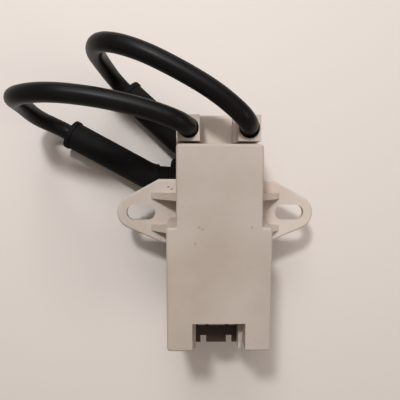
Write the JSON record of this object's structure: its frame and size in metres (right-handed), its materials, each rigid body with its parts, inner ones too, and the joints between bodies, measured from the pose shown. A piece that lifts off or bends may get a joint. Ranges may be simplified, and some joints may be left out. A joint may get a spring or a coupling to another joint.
{
  "type": "ignition transformer",
  "caption": "Resin-cast electronic ignition transformer for a burner: T-shaped case with slotted ears, mains socket, and high-voltage leads with rubber electrode boots.",
  "frame": {"origin": "midway between the two ear slots, on the mounting plane, which is the back of the ears and of the case", "axes": "+Z out of the front of the case, +Y towards the end with the high-voltage towers, +X to the right seen from the front"},
  "size_m": [0.1215, 0.1179, 0.0576],
  "materials": {
    "case": "fine matt moulded thermoplastic, grey beige",
    "resin": "cast epoxy, semi matt",
    "header": "matt",
    "tab": "tin plated brass",
    "ferrite": "sintered",
    "bobbin": "moulded polyester",
    "winding": "enamelled copper wire",
    "board": "glass epoxy laminate",
    "capacitor": "boxed film",
    "switch": "moulded epoxy",
    "resistor": "lacquered",
    "diode": "moulded epoxy",
    "contact": "turned",
    "link": "silicone sleeved wire",
    "lead": "satin silicone",
    "boot": "matt"
  },
  "bodies": {
    "root": {"housing": "case", "casting_resin": "resin", "connector_header": "header", "line_tab": "tab", "neutral_tab": "tab", "earth_tab": "tab", "ferrite_core": "ferrite", "secondary_bobbin": "bobbin", "primary_former": "bobbin", "secondary_winding": "winding", "primary_winding": "winding", "primary_tails": "winding", "circuit_board": "board", "storage_capacitor": "capacitor", "input_capacitor": "capacitor", "thyristor": "switch", "charge_resistor": "resistor", "rectifier_diode": "diode", "trigger_diac": "diode", "hv_terminal_left": "contact", "hv_terminal_right": "contact", "hv_link_left": "link", "hv_link_right": "link", "lead_left": "lead", "lead_right": "lead", "boot_left": "boot", "boot_right": "boot", "electrode_socket_left": "contact", "electrode_socket_right": "contact"}
  },
  "joints": []
}
